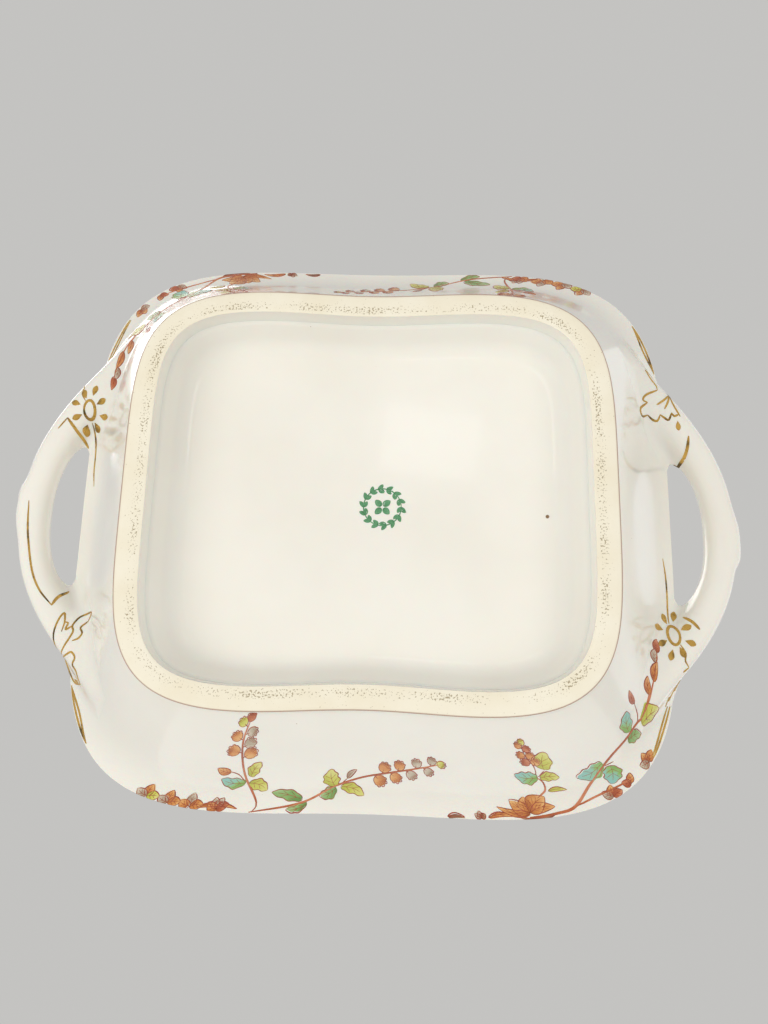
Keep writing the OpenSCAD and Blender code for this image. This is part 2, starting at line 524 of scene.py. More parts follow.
def bump(tree, source, distance, strength, below=None):
    item = add(tree, "ShaderNodeBump", Strength=strength, Distance=distance)
    tree.links.new(source, item.inputs["Height"])
    if below is not None:
        tree.links.new(below, item.inputs["Normal"])
    return item.outputs["Normal"]


def dress(tree, shader, colour, dullness, normal):
    """Links a colour, a roughness (its noise's scale, lowest, highest) and a normal to a shader."""
    scale, low, high = dullness
    tree.links.new(colour, shader.inputs["Base Color"])
    tree.links.new(span(tree, noise(tree, scale), 0.3, 0.7, low, high), shader.inputs["Roughness"])
    tree.links.new(normal, shader.inputs["Normal"])


def porcelain_material():
    """White hard-paste porcelain under a clear glaze with a faint orange peel."""
    material, tree, shader = new_material("porcelain_glaze")
    clouds = ramp(tree, noise(tree, 28), ((0.35, (0.875, 0.845, 0.765)), (0.65, (0.915, 0.89, 0.815))))
    specks = span(tree, noise(tree, 900, 2.0), 0.80, 0.84)
    colour = blend(tree, specks, clouds, (0.34, 0.22, 0.13))
    waves = bump(tree, noise(tree, 45, 1.0), 0.0004, 0.4)
    peel = bump(tree, noise(tree, 700, 2.0), 0.00003, 0.5, waves)
    dress(tree, shader, colour, (60, 0.12, 0.22), peel)
    shader.inputs["Coat Weight"].default_value = 0.5
    shader.inputs["Coat Roughness"].default_value = 0.04
    shader.inputs["Subsurface Weight"].default_value = 0.15
    shader.inputs["Subsurface Scale"].default_value = 0.002
    return material


def biscuit_material():
    """Unglazed cream band: grit gathers on the resting crest, a brown line runs outside."""
    material, tree, shader = new_material("biscuit_band")
    band = add(tree, "ShaderNodeAttribute", attribute_name="band").outputs["Fac"]
    cream = ramp(tree, noise(tree, 90, 4.0), ((0.3, (0.87, 0.80, 0.63)), (0.7, (0.92, 0.87, 0.73))))
    crest = ramp(tree, band, ((0.40, (0, 0, 0)), (0.62, (1, 1, 1)), (0.84, (1, 1, 1)), (0.95, (0, 0, 0))))
    patches = combine(tree, "MULTIPLY", span(tree, noise(tree, 75, 2.0), 0.32, 0.62, 0.05, 0.21), crest)
    grit = combine(tree, "ADD", noise(tree, 2300, 1.5), patches)
    spots = span(tree, grit, 0.72, 0.80)
    soiled = blend(tree, spots, cream, (0.42, 0.35, 0.22))
    edge = ramp(tree, band, ((0.02, (1, 1, 1)), (0.07, (0, 0, 0))))
    colour = blend(tree, edge, soiled, (0.40, 0.26, 0.20))
    dress(tree, shader, colour, (400, 0.55, 0.75), bump(tree, noise(tree, 1500), 0.00008, 0.7))
    return material


def enamel_material(name, stops):
    """Overglaze colour: washes from one stop to the next across a shape, mottled like a brush wash."""
    material, tree, shader = new_material(name)
    wash = add(tree, "ShaderNodeAttribute", attribute_name="wash").outputs["Fac"]
    wander = combine(tree, "ADD", wash, span(tree, noise(tree, 420), 0.25, 0.75, -0.28, 0.28))
    colour = ramp(tree, wander, stops)
    dress(tree, shader, colour, (900, 0.22, 0.40), bump(tree, noise(tree, 2500, 2.0), 0.00002, 0.6))
    shader.inputs["Coat Weight"].default_value = 0.25
    shader.inputs["Coat Roughness"].default_value = 0.1
    return material


def gilding_material():
    """Burnished gold, brushed on by hand, worn thin and brown in places."""
    material, tree, shader = new_material("gilding")
    colour = ramp(tree, noise(tree, 260, 4.0),
                  ((0.34, (0.13, 0.085, 0.03)), (0.46, (0.56, 0.33, 0.07)), (0.70, (0.74, 0.46, 0.11))))
    dress(tree, shader, colour, (700, 0.22, 0.42), bump(tree, noise(tree, 1800, 2.0), 0.00003, 0.6))
    shader.inputs["Metallic"].default_value = 0.55
    return material


# leaf, berry and petal colours, each from its pale side to its strong side
TEAL = ((0.0, (0.26, 0.55, 0.50)), (0.45, (0.28, 0.56, 0.42)),
        (0.7, (0.28, 0.50, 0.14)), (1.0, (0.22, 0.42, 0.08)))
GREEN = ((0.0, (0.40, 0.55, 0.26)), (0.5, (0.24, 0.44, 0.13)), (1.0, (0.14, 0.30, 0.07)))
LIME = ((0.0, (0.72, 0.70, 0.22)), (0.5, (0.60, 0.60, 0.09)), (1.0, (0.44, 0.46, 0.04)))
ORANGE = ((0.0, (0.80, 0.46, 0.17)), (0.5, (0.66, 0.26, 0.06)), (1.0, (0.42, 0.12, 0.02)))
RUST = ((0.0, (0.66, 0.26, 0.13)), (0.5, (0.50, 0.13, 0.04)), (1.0, (0.34, 0.07, 0.02)))
GREY = ((0.0, (0.68, 0.58, 0.46)), (0.5, (0.50, 0.42, 0.30)), (1.0, (0.36, 0.24, 0.15)))
BROWN = ((0.0, (0.42, 0.27, 0.15)), (0.5, (0.27, 0.16, 0.08)), (1.0, (0.14, 0.07, 0.03)))
LINE_RED = ((0.0, (0.44, 0.10, 0.05)), (0.5, (0.36, 0.06, 0.02)), (1.0, (0.24, 0.035, 0.012)))
STAMP = ((0.0, (0.16, 0.38, 0.20)), (0.5, (0.10, 0.30, 0.14)), (1.0, (0.06, 0.22, 0.09)))
GOLD = "gold"
INKS = {"teal": TEAL, "green": GREEN, "lime": LIME, "orange": ORANGE, "rust": RUST,
        "grey": GREY, "brown": BROWN, "line": LINE_RED, "stamp": STAMP}
PORCELAIN = porcelain_material()
BISCUIT = biscuit_material()
INK_MATERIALS = {name: enamel_material("enamel_" + name, stops) for name, stops in INKS.items()}
INK_MATERIALS[GOLD] = gilding_material()


# ------------ porcelain pieces
def crowded_shares(count):
    """Shares from 0 to 1, crowded towards 1, where the forms curve most."""
    return np.sin(np.linspace(0, np.pi / 2, count))


def rim_ring(inside, z):
    """Ring of the rim's own outline, some way inside the rim."""
    return ring(RIM_X - inside, RIM_Y - inside, RIM_SQUARE, RIM_DIP, z)


def make_bowl():
    reach = 3.0                      # how far the panel's soft corner spreads
    panel_x, panel_y = FOOT_X - PANEL_INSET, FOOT_Y - PANEL_INSET
    corner = ring(panel_x, panel_y, PANEL_SQUARE, FOOT_DIP, RECESS)
    panel_edge = ring(panel_x - reach, panel_y - reach, PANEL_SQUARE, FOOT_DIP, RECESS)
    band = FOOT_BAND + RECESS_LIP
    recess_foot = ring(FOOT_X - band, FOOT_Y - band, RECESS_SQUARE, FOOT_DIP, FOOT_H)
    rise = mix(corner, recess_foot, 0.42)
    rings = closing_rings(panel_edge, 24)[::-1] + [panel_edge]
    rings += arc_rings(panel_edge, rise, corner, 7) + [rise]
    rings += [mix(rise, recess_foot, t) for t in (0.33, 0.66, 1.0)]
    shares = crowded_shares(64)
    rings += [wall_point(THETA, s) for s in shares]
    edge_out, edge_in = rings[-1], polar(THETA, inner_r(THETA, 1.0), WALL_TOP)
    top_out, top_in = rim_ring(LIP_IN, RIM_Z), rim_ring(RIM_T - LIP_IN, RIM_Z)
    rings += arc_rings(edge_out, top_out, rim_ring(0, RIM_Z), 5) + [top_out, top_in]
    rings += arc_rings(top_in, edge_in, rim_ring(RIM_T, RIM_Z), 5)
    rings += [polar(THETA, inner_r(THETA, s), mix(FLOOR_Z, WALL_TOP, s)) for s in shares[::-1]]
    rings += closing_rings(rings[-1], 24)
    bowl = make_object("bowl_porcelain", *loft(rings), "base", PORCELAIN, "glazed_porcelain")
    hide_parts("bowl")


def make_lid():
    shares = crowded_shares(49)[1:]
    rings = [dome_point(THETA, k, LID_T) for k in shares]
    low, deep = LID_LOW, LID_LOW - FLANGE_H
    corners = [rim_ring(FLANGE_IN, low), rim_ring(FLANGE_IN, deep), rim_ring(FLANGE_OUT + FLANGE_TAPER, deep),
               rim_ring(FLANGE_OUT, low), rim_ring(2.0, low), rim_ring(LID_INSET, low + 1.5)]
    path = [rings[-1]] + corners + [dome_point(THETA, 1.0)]
    for before, at, after in zip(path, corners, path[2:]):
        soft = 0.18                  # share of each side that its corner rounds off
        rings += [mix(at, before, soft)] + arc_rings(mix(at, before, soft), mix(at, after, soft), at, 3)
        rings += [mix(at, after, soft)]
    rings += [dome_point(THETA, k) for k in shares[::-1]]
    lid = make_object("lid_porcelain", *loft(rings), "lid", PORCELAIN, "glazed_porcelain")
    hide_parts("lid")


def make_drainer():
    """A flat pierced plate with softened edges, from a filled curve with holes."""
    edge = 0.5
    curve = bpy.data.curves.new("drainer_outline", "CURVE")
    curve.dimensions = "2D"
    curve.fill_mode = "BOTH"
    share = (DRAINER_LOW - FLOOR_Z) / (WALL_TOP - FLOOR_Z)
    around = np.arange(48) * 2 * np.pi / 48
    loops = [polar(THETA, inner_r(THETA, share, DRAINER_PLAY), 0), polar(around, FINGER_HOLE_R, 0)]
    for count, row_r, first in DRAIN_ROWS:
        for i in range(count):
            angle = math.radians(first + 360 * i / count)
            centre = np.array([row_r * math.cos(angle), row_r * math.sin(angle), 0])
            loops.append(centre + polar(around, DRAIN_HOLE_R, 0))
    for loop in loops:
        spline = curve.splines.new("POLY")
        spline.points.add(len(loop) - 1)
        spline.points.foreach_set("co", np.c_[loop * MM, np.ones(len(loop))].ravel())
        spline.use_cyclic_u = True
    curve.extrude = (DRAINER_T / 2 - edge) * MM
    curve.bevel_depth = edge * MM
    curve.bevel_resolution = 3
    curve.offset = -edge * MM
    holder = bpy.data.objects.new("drainer_outline", curve)
    bpy.context.scene.collection.objects.link(holder)
    bpy.context.view_layer.update()
    mesh = bpy.data.meshes.new_from_object(holder.evaluated_get(bpy.context.evaluated_depsgraph_get()))
    bpy.data.objects.remove(holder)
    work = bmesh.new()
    work.from_mesh(mesh)
    bmesh.ops.remove_doubles(work, verts=work.verts, dist=0.00001)
    bmesh.ops.translate(work, verts=work.verts, vec=(0, 0, (DRAINER_LOW + DRAINER_T / 2) * MM))
    bmesh.ops.recalc_face_normals(work, faces=work.faces)
    points = np.array([v.co[:] for v in work.verts]) / MM
    faces = [tuple(v.index for v in f.verts) for f in work.faces]
    work.free()
    drainer = make_object("drainer_porcelain", points, faces, "drainer", PORCELAIN, "glazed_porcelain", 40)
    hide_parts("drainer")


def make_foot_ring():
    """The foot ring as a closed loop of section points, its underside an unglazed crowned band."""
    # share across the band from outside to inside, and how far the place stands off the table
    under = [(t, 0.9 * abs(t - 0.68) ** 2.2) for t in np.linspace(0, 1, 15)]
    # share across, share of the foot's height, and the band's coordinate, 0 to 1 where it is bare
    section = [(0.0, 1.0, -1.0), (0.0, 0.75, -0.7), (0.0, 0.5, -0.4), (0.0, 0.22, -0.2), (0.01, 0.12, -0.05)]
    section += [(t, z / FOOT_H + 0.02 * (t in (0, 1)), t) for t, z in under]
    section += [(1.0, 0.2, 1.2), (1.02, 0.5, 1.5), (1.06, 0.75, 1.75), (1.1, 1.0, 2.0)]
    m = len(section)
    rings = []
    for t, z, _band in section:
        square = mix(FOOT_SQUARE, RECESS_SQUARE, t)
        rings.append(ring(FOOT_X - t * FOOT_BAND, FOOT_Y - t * FOOT_BAND, square, FOOT_DIP, z * FOOT_H))
    points = np.concatenate(rings)
    faces, glazed = [], []
    for i in range(m):
        nxt = (i + 1) % m
        for j in range(SEGMENTS):
            k = (j + 1) % SEGMENTS
            faces.append((i * SEGMENTS + j, nxt * SEGMENTS + j, nxt * SEGMENTS + k, i * SEGMENTS + k))
            glazed.append(not (0 <= section[i][2] and 0 <= section[nxt][2] <= 1.0))
    foot = make_object("foot_ring_porcelain", points, faces, "base", BISCUIT, "unglazed_foot", 50)
    foot.data.materials.append(PORCELAIN)
    foot.data.polygons.foreach_set("material_index", [int(g) for g in glazed])
    band = foot.data.attributes.new("band", "FLOAT", "POINT")
    band.data.foreach_set("value", np.repeat([b for _t, _z, b in section], SEGMENTS))
    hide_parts("foot_ring")


def turned(points, half_turns):
    """Points turned by half turns about the upright axis."""
    return points * np.array([-1, -1, 1]) if half_turns % 2 else points


VOXEL = 0.55                     # grid step of the pieces that are melted into another


def make_handles():
    # a box with room to spare round the right-hand handle
    low = (60.0, -HANDLE_ROOT_Y - 14, RIM_Z - 20)
    high = (HANDLE_X + 8, HANDLE_ROOT_Y + 14, RIM_Z + 7)
    points, faces = mesh_level(handle_level, low, high, VOXEL)
    for name, half_turns in (("handle_right", 0), ("handle_left", 1)):
        handle = make_object(name + "_porcelain", turned(points, half_turns), faces, "base", PORCELAIN,
                             "glazed_porcelain", 60)
        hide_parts(name)


def make_lid_handle():
    low = (-LOOP_ROOT_X - 16, -12.0, DOME_LOW + DOME_H - 14)
    high = (LOOP_ROOT_X + 16, 12.0, DOME_LOW + DOME_H + LOOP_H + LOOP_W + 2)
    points, faces = mesh_level(lid_handle_level, low, high, VOXEL)
    handle = make_object("lid_handle_porcelain", points, faces, "lid", PORCELAIN, "glazed_porcelain", 60)
    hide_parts("lid_handle")


# ------------ charts
TALL = 1.4                       # sprigs are drawn upright and stretch this much down the wall
EDGE_BAND = 2.0                  # the lid's sprigs start this far in from its edge
TURN = np.linspace(-np.pi, np.pi, 2881)


def running_length(points):
    return np.concatenate([[0], np.cumsum(np.linalg.norm(np.diff(points, axis=0), axis=1))])


def around_table(radius_of):
    """Lengths along an outline from the middle of its +Y side, positive towards +X."""
    theta = np.pi / 2 - TURN
    r = radius_of(theta)
    length = running_length(np.stack([r * np.cos(theta), r * np.sin(theta)], -1))
    return length - length[-1] / 2


RIM_LENGTHS = around_table(lambda theta: wall_r(theta, 1.0))
RIM_ROUND = 2 * RIM_LENGTHS[-1]
WALL_S = np.linspace(0, 1, 401)
WALL_LENGTHS = running_length(wall_point(np.pi / 2, WALL_S))
DOME_K = np.linspace(0.02, 1, 401)
DOME_LENGTHS = running_length(dome_point(np.pi / 2, DOME_K))


def theta_at(p):
    """Angle of a place p millimetres along the rim from the middle of its +Y side."""
    p = (p + RIM_ROUND / 2) % RIM_ROUND - RIM_ROUND / 2
    return np.pi / 2 - np.interp(p, RIM_LENGTHS, TURN)


def raise_by(surface, a, b, lift):
    """Points of a surface of two parameters, raised along its outward normal."""
    step = 1e-3
    place = surface(a, b)
    normal = np.cross(surface(a + step, b) - place, surface(a, b + step) - place)
    normal = unit(normal)
    normal *= np.sign((normal * (place - [0, 0, FLOOR_Z])).sum(1, keepdims=True))
    return place + normal * lift[:, None]


def wall_chart(half_turns):
    """Lays (along the rim, down the wall) on the base, and over the roots of its handles."""
    def chart(flat, lift):
        theta = theta_at(flat[:, 0] + half_turns * RIM_ROUND / 2)
        length = np.clip(WALL_LENGTHS[-1] - TALL * flat[:, 1], 0.3, None)
        s = np.interp(length, WALL_LENGTHS, WALL_S)
        points = raise_by(wall_point, theta, s, lift)
        # where a handle may melt into the wall
        near = (np.abs(points[:, 0]) > 66) & (np.abs(points[:, 1]) < 58)
        if near.any():
            side = np.where(points[near, :1] > 0, 1, -1) * np.array([1, 1, 0]) + np.array([0, 0, 1])
            place, normal = drop_on(painted_skin, points[near] * side, 3)
            points[near] = (place + normal * lift[near, None]) * side
        return points
    return chart


def dome_chart(half_turns, anchor):
    """Lays (along the lid's edge, up the dome) on the lid, true to size about an anchor."""
    def chart(flat, lift):
        k = np.interp(DOME_LENGTHS[-1] - EDGE_BAND - flat[:, 1], DOME_LENGTHS, DOME_K)
        p = anchor + (flat[:, 0] - anchor) / k
        return raise_by(dome_point, theta_at(p + half_turns * RIM_ROUND / 2), k, lift)
    return chart


def under_chart(half_turns):
    """Lays a drawing seen from below on the wall and the handle melted into it."""
    def chart(flat, lift):
        # climb from below to the skin, keep under the rim's top, then settle
        p = np.c_[flat, np.full(len(flat), RIM_Z - 24)]
        for _ in range(30):
            p[:, 2] += 0.7 * np.clip(painted_skin(p), -1, 4)
        p[:, 2] = np.minimum(p[:, 2], RIM_Z - 1)
        place, normal = drop_on(painted_skin, p)
        return turned(place + normal * lift[:, None], half_turns)
    return chart


def panel_chart(flat, lift):
    """Lays a drawing seen from below on the recessed panel."""
    return np.c_[flat, RECESS - lift]


def loop_chart(flat, lift):
    """Lays (degrees round the loop, degrees round its section) on the lid's handle."""
    t, around = np.radians(flat[:, 0]), np.radians(flat[:, 1])
    half_w, half_d = loop_section(t)
    out = np.stack([-np.cos(t), 0 * t, np.sin(t)], -1) * (half_w * np.cos(around))[:, None]
    guess = loop_line(t) + out + np.stack([0 * t, half_d * np.sin(around), 0 * t], -1)
    place, normal = drop_on(lid_outside, guess)
    return place + normal * lift[:, None]


# ------------ drawing
SINK = 0.12                      # how far a patch of colour reaches into the glaze
FILL = 0.05                      # how far a wash stands off the glaze
LINE = 0.09                      # and a printed line
HAIR = 0.30                      # width of the printed outlines


def smooth_line(points):
    """Curve through control points, sampled about every 0.6 mm."""
    points = np.asarray(points, float)
    ends = np.vstack([2 * points[0] - points[1], points, 2 * points[-1] - points[-2]])
    spans = []
    for a, b, c, d in zip(ends, ends[1:], ends[2:], ends[3:]):
        count = max(2, int(np.linalg.norm(c - b) / 0.6) + 1)
        t = np.arange(count)[:, None] / count
        spans.append(0.5 * (2 * b + (c - a) * t + (2 * a - 5 * b + 4 * c - d) * t ** 2
                            + (3 * b - a - 3 * c + d) * t ** 3))
    return np.vstack(spans + [points[-1:]])


def across(direction):
    """Unit vectors to the left of some directions."""
    return unit(np.stack([-direction[..., 1], direction[..., 0]], -1))


def heading(degrees):
    return np.array([math.cos(math.radians(degrees)), math.sin(math.radians(degrees))])


class Pen:
    """Draws thin closed patches of colour on the flat, for a chart to lay on a surface."""

    def __init__(self, chart, seed, shift=0.0):
        self.chart = chart
        self.shift = np.array([shift, 0.0])
        self.random = np.random.default_rng(seed)
        self.flat, self.lift, self.wash, self.faces, self.inks = [], [], [], [], []
        self.total = 0

    def patch(self, ink, grid, wash, lift):
        """A grid of places raised by lift over an underside that is sunk in the glaze."""
        rows, columns = grid.shape[:2]
        size = rows * columns
        flat = grid.reshape(-1, 2) + self.shift
        self.flat += [flat, flat]
        self.lift += [np.broadcast_to(lift, (rows, columns)).ravel(), np.full(size, -SINK)]
        self.wash += [np.broadcast_to(wash, (rows, columns)).ravel()] * 2
        index = np.arange(size).reshape(rows, columns)
        top = np.stack([index[:-1, :-1], index[1:, :-1], index[1:, 1:], index[:-1, 1:]], -1).reshape(-1, 4)
        loop = np.concatenate([index[0], index[1:, -1], index[-1, -2::-1], index[-2:0:-1, 0]])
        onward = np.roll(loop, -1)
        sides = np.stack([loop, onward, onward + size, loop + size], -1)
        faces = np.vstack([top, top[:, ::-1] + size, sides]) + self.total
        self.faces.append(faces)
        self.inks += [ink] * len(faces)
        self.total += 2 * size

    def stroke(self, ink, line, width=HAIR, ends=0.35, lift=LINE):
        """A line of paint, rounded across and thinner at its ends."""
        line = np.asarray(line, float)
        share = np.linspace(-1, 1, len(line))
        half = width / 2 * (1 - (1 - ends) * np.abs(share) ** 4)
        profile = np.array([0.2, 1.0, 0.2]) if width < 0.4 else np.array([0.2, 0.85, 1.0, 0.85, 0.2])
        spread = np.linspace(-1, 1, len(profile))
        left = across(np.gradient(line, axis=0))
        grid = line[:, None] + (half[:, None] * spread)[..., None] * left[:, None]
        self.patch(ink, grid, 0.5 + 0.3 * np.sin(5 * share)[:, None], profile * lift)

    def curve(self, ink, points, width=HAIR, ends=0.35, lift=LINE):
        self.stroke(ink, smooth_line(points), width, ends, lift)

    def tick(self, ink, start, end, width=HAIR):
        """A short straight line."""
        self.stroke(ink, mix(start, end, np.linspace(0, 1, 4)[:, None]), width)

    def leaf(self, base, tip, width, ink, lobes=2.5, fold=0.1, veins=2, outline="line"):
        """A leaf or petal: a wash, a jagged outline a little off it, a midrib and veins."""
        base, tip = np.array(base, float), np.array(tip, float)
        length = np.linalg.norm(tip - base)
        left = across(tip - base)
        u = np.linspace(0.02, 0.98, 19)
        middle = base + u[:, None] * (tip - base) + (fold * length * np.sin(np.pi * u))[:, None] * left
        half = width / 2 * np.sin(np.pi * u ** 0.8) ** (0.62 if lobes else 0.8)
        half = half * (1 + (0.12 if lobes else 0) * np.cos(2 * np.pi * lobes * u))
        v = np.linspace(-1, 1, 7)
        slip = self.random.normal(0, 0.14, 2)
        grid = middle[:, None] + (half[:, None] * v)[..., None] * left + slip
        self.patch(ink, grid, 1 - u[:, None] + 0.2 * v, FILL)
        for side in (-1, 1):
            edge = middle + side * half[:, None] * left
            self.stroke(outline, np.vstack([base, edge, tip]))
        self.stroke(outline, middle[:-3], HAIR * 0.8)
        for i in range(veins):
            start = 0.2 + 0.5 * i / max(veins, 1)
            for side in (-1, 1):
                ends = np.array([start, min(start + 0.22, 0.95)])
                rib = np.stack([np.interp(ends, u, middle[:, axis]) for axis in (0, 1)], -1)
                rib[1] += side * 0.75 * np.interp(ends[1], u, half) * left
                self.tick(outline, rib[0], rib[1], HAIR * 0.7)

    def berry(self, centre, radius, ink, facing):
        """A small round blossom: a washed disc, a scalloped outline and a hatched crown."""
        centre = np.array(centre, float)
        facing = facing + self.random.normal(0, 20)
        ahead, left = heading(facing), across(heading(facing))
        u = np.linspace(-0.96, 0.96, 9)
        half = np.sqrt(1 - u ** 2)
        v = np.linspace(-1, 1, 7)
        grid = centre + radius * (u[:, None, None] * ahead + (half[:, None] * v)[..., None] * left)
        slip = self.random.normal(0, 0.1, 2)
        self.patch(ink, grid + slip, 0.5 + 0.4 * u[:, None] + 0.2 * v, FILL)
        phi = np.linspace(0, 2 * np.pi, 37)
        reach = radius * (0.94 + 0.30 * np.abs(np.sin(4.5 * phi)) * np.clip(np.cos(phi) + 0.3, 0, 1))
        ring_line = centre + (reach * np.cos(phi))[:, None] * ahead + (reach * np.sin(phi))[:, None] * left
        self.stroke("line", ring_line, HAIR, 0.8)
        for spread in (-0.7, -0.35, 0, 0.35, 0.7):
            foot = centre + radius * (0.3 * ahead + 0.6 * spread * left)
            top = centre + radius * (0.95 * ahead * math.cos(spread) + 1.1 * spread * left)
            self.tick("line", foot, top, HAIR * 0.8)

    def raceme(self, points, start, radius, inks, reach):
        """Blossoms on either side of a stem's last part, getting smaller towards its tip."""
        inks = inks.split()
        line = smooth_line(points)
        for i, ink in enumerate(inks):
            share = start + (1 - start) * i / max(len(inks) - 1, 1)
            index = int(round(share * (len(line) - 1)))
            at, before = line[index], line[max(index - 2, 0)]
            ahead = at - before
            side = 0.0 if i == len(inks) - 1 else (1 if i % 2 else -1)
            size = radius * (1.0 - 0.35 * i / len(inks))
            centre = at + side * reach * (1 - 0.3 * i / len(inks)) * across(ahead)
            facing = math.degrees(math.atan2(centre[1] - before[1], centre[0] - before[0]))
            self.tick("line", before, mix(before, centre, 0.7))
            self.berry(centre, size, ink, facing)

    def bloom(self, centre, size, inks, spread=150.0, facing=90.0):
        """A flower seen from the side: overlapping petals fanned about a centre."""
        inks = inks.split()
        for i, ink in enumerate(inks):
            angle = facing + spread * (i / max(len(inks) - 1, 1) - 0.5)
            tip = np.array(centre) + size * heading(angle)
            self.leaf(centre, tip, size * 0.75, ink, lobes=0, fold=0.06, veins=2)


def make_print(name, pens, body, slot_name):
    """One object from several pens, one material for each ink."""
    points = np.concatenate([pen.chart(np.concatenate(pen.flat), np.concatenate(pen.lift)) for pen in pens])
    starts = np.cumsum([0] + [pen.total for pen in pens])
    faces = np.concatenate([np.concatenate(pen.faces) + start for pen, start in zip(pens, starts)])
    inks = [ink for pen in pens for ink in pen.inks]
    used = sorted(set(inks))
    printed = make_object(name, points, faces.tolist(), body, INK_MATERIALS[used[0]], slot_name, 50)
    for ink in used[1:]:
        printed.data.materials.append(INK_MATERIALS[ink])
    printed.data.polygons.foreach_set("material_index", [used.index(ink) for ink in inks])
    wash = printed.data.attributes.new("wash", "FLOAT", "POINT")
    wash.data.foreach_set("value", np.concatenate([w for pen in pens for w in pen.wash]))
    work = bmesh.new()
    work.from_mesh(printed.data)
    bmesh.ops.recalc_face_normals(work, faces=work.faces)
    work.to_mesh(printed.data)
    work.free()


# ------------ sprigs
# Places are millimetres along the rim from the middle of its +Y side, and away from the rim.
def upright_sprig(pen):
    """A stem that rises from the rim into a raceme of round blossoms."""
    stem = [(-29.5, 0.2), (-29, 2.5), (-33.5, 9), (-36, 15), (-37.5, 22), (-37, 29)]
    pen.curve("rust", stem, 0.62)
    pen.raceme(stem[2:], 0.42, 1.9, "orange orange grey orange grey lime rust", 2.4)
    pen.curve("line", [(-33.5, 8), (-36, 10.5), (-39, 11.5)], 0.3)
    pen.leaf((-38.5, 11.2), (-42.5, 12.2), 2.4, "orange", lobes=0)
    pen.leaf((-33.5, 8), (-40.5, 8.7), 3.2, "teal")
    pen.leaf((-32.5, 8), (-27, 6), 3.4, "lime")
    pen.leaf((-32.5, 10), (-30.5, 15), 3.4, "lime")


def branch_sprig(pen):
    """A long stem that leans along the wall, with leaves in pairs and a raceme at its end."""
    stem = [(-30.2, 0.2), (-17, 2.6), (-8.5, 7), (-1, 9.8), (6, 11.4), (14, 13.2), (22.5, 15.4)]
    pen.curve("rust", stem, 0.6)
    inks = "orange orange orange orange grey grey grey grey lime"
    pen.raceme(stem[2:], 0.4, 1.75, inks, 1.9)
    pen.leaf((-17, 3.4), (-25.6, 5.3), 2.7, "green", fold=-0.04)
    pen.leaf((-15.6, 2.4), (-20.8, 0.8), 1.9, "green")
    pen.leaf((-8.5, 7), (-9.8, 12.4), 4.4, "lime", lobes=3)
    pen.leaf((-8.3, 6.4), (-12.5, 4.2), 3.2, "green")
    pen.leaf((-6.8, 7), (-0.5, 4.6), 3.0, "lime")
    pen.curve("line", [(-7, 7.5), (-5, 9.5)], 0.26)
    pen.leaf((-5, 9.5), (-2.4, 12.3), 1.5, "grey", lobes=0, veins=0)


def flower_sprig(pen):
    """An open orange flower on the rim, and a small sprig that grows out of it."""
    centre = (42.7, 1.5)
    for tip, width in (((34.6, 3.1), 1.7), ((38.6, 5), 4.0), ((42.4, 5.6), 3.6), ((48.2, 5.2), 4.6),
                       ((49.6, 2.4), 2.6)):
        pen.leaf(centre, tip, width, "orange", lobes=0, veins=3)
    pen.leaf((48.5, 0.6), (39.5, 0.5), 0.9, "brown", lobes=0, veins=0)
    pen.curve("rust", [(46.3, 5), (49.2, 6.9), (49.7, 9.4), (48.6, 11.2)], 0.5)
    cluster = [(48.6, 11.2), (49.2, 14.5), (48.6, 17), (48, 19.8), (48.6, 23)]
    pen.curve("line", cluster, 0.3)
    pen.raceme(cluster, 0.4, 1.35, "orange rust orange orange rust orange lime", 1.3)
    pen.leaf((48.9, 11.2), (42.8, 12.6), 4.2, "teal", lobes=3)
    pen.leaf((49.5, 11), (54.6, 10.2), 3.0, "lime")
    pen.curve("line", [(49.2, 11.4), (51.5, 13.2)], 0.26)
    pen.leaf((51.5, 13.6), (53.8, 19.2), 5.2, "lime", lobes=2)
    pen.leaf((50, 6.6), (54.8, 6.1), 1.3, "lime", lobes=0, veins=0)


def corner_sprig(pen):
    """The strongest stem: it runs round the corner of the dish and ends in long buds."""
    stem = [(42, 0.3), (49, 0.7), (54.5, 1.5), (61.3, 5.7), (67, 8.7), (72.5, 10.2), (82, 10.3), (91, 10.6)]
    pen.curve("rust", stem, 0.7, 0.6)
    pen.curve("rust", [(82, 10.3), (90, 10.2), (98, 9.6), (107, 8.4)], 0.4)
    pen.curve("rust", [(54.5, 1.5), (62, 2.3), (71, 1.6)], 0.5)
    pen.leaf((67, 9.8), (58.8, 8.8), 4.2, "teal", lobes=3)
    pen.curve("line", [(67, 8.5), (70, 8)], 0.26)
    pen.leaf((68.6, 7.6), (66.2, 3.2), 5.0, "teal", lobes=3)
    pen.leaf((78.4, 11), (81.6, 16.2), 4.6, "teal")
    pen.leaf((77, 9.4), (81.2, 7.2), 3.4, "green")
    pen.leaf((83.4, 9.2), (90, 6.2), 4.6, "lime", lobes=2)
    pen.curve("line", [(82.5, 10.4), (84.5, 12.8), (85.5, 14.6)], 0.26)
    pen.leaf((85.4, 14.4), (86.6, 18.8), 2.2, "rust", lobes=0)
    for base, tip, ink in (((90.4, 10.6), (95, 12), "orange"), ((94.6, 9.8), (100.4, 9), "orange"),
                           ((100, 9.8), (103.8, 9.6), "grey"), ((103, 8.8), (107, 8.6), "rust")):
        pen.leaf(base, tip, 2.3, ink, lobes=0)


